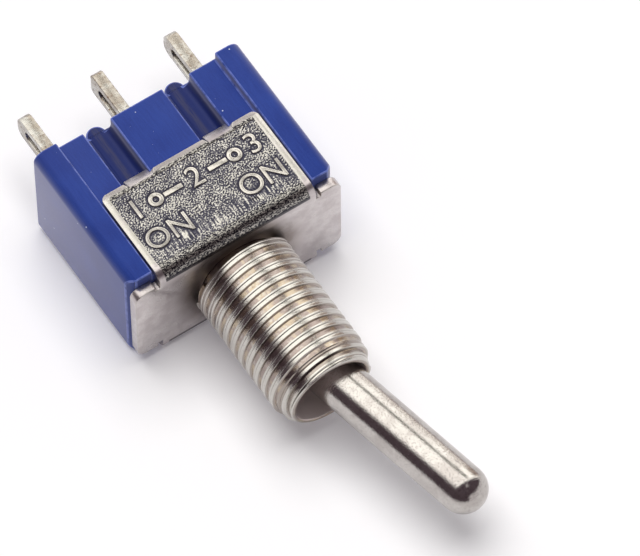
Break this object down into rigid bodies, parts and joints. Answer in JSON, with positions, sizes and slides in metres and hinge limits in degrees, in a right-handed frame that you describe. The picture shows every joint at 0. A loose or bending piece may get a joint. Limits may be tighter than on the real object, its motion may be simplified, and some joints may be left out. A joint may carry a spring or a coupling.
{
  "type": "miniature toggle switch",
  "caption": "Miniature panel-mount toggle switch: moulded case in a stamped frame, threaded bushing, tilting bat lever and flat solder lugs.",
  "frame": {"origin": "on the bushing axis, at the outer face of the mounting plate", "axes": "-Y along the bushing, out through the panel; +Y back to the solder lugs; X along the row of terminals; +Z is the normal of a broad side, which faces up as the switch lies on the other broad side"},
  "size_m": [0.0132, 0.0335, 0.0078],
  "materials": {
    "case_moulding": "satin",
    "nickel_sheet": "satin",
    "nickel_thread": "polished",
    "tinned_terminal": "satin",
    "silver_contact": "satin",
    "nickel_lever": "polished",
    "steel_pin": "satin",
    "nylon_plunger": "satin",
    "spring_steel": "satin",
    "copper_rocker": "satin"
  },
  "bodies": {
    "housing": {"case_body": "case_moulding", "mounting_frame": "nickel_sheet", "bushing": "nickel_thread", "terminal_left": "tinned_terminal", "terminal_centre": "tinned_terminal", "terminal_right": "tinned_terminal", "fixed_contact_left": "silver_contact", "fixed_contact_right": "silver_contact"},
    "lever": {"lever": "nickel_lever", "pivot_pin": "steel_pin", "plunger": "nylon_plunger", "plunger_spring": "spring_steel"},
    "rocker": {"rocker": "copper_rocker", "moving_contact_left": "silver_contact", "moving_contact_right": "silver_contact"}
  },
  "joints": [
    {"name": "lever_throw", "type": "hinge", "parent": "housing", "child": "lever", "pos_m": [0, -0.0055, 0], "axis": [0, 0, -1], "range_deg": [0, 24]},
    {"name": "rocker_tilt", "type": "hinge", "parent": "housing", "child": "rocker", "pos_m": [0, 0.0058, 0], "axis": [0, 0, 1], "range_deg": [0, 15]}
  ],
  "couplings": [
    {"joint": "rocker_tilt", "follows": "lever_throw", "ratio": 0.625}
  ]
}
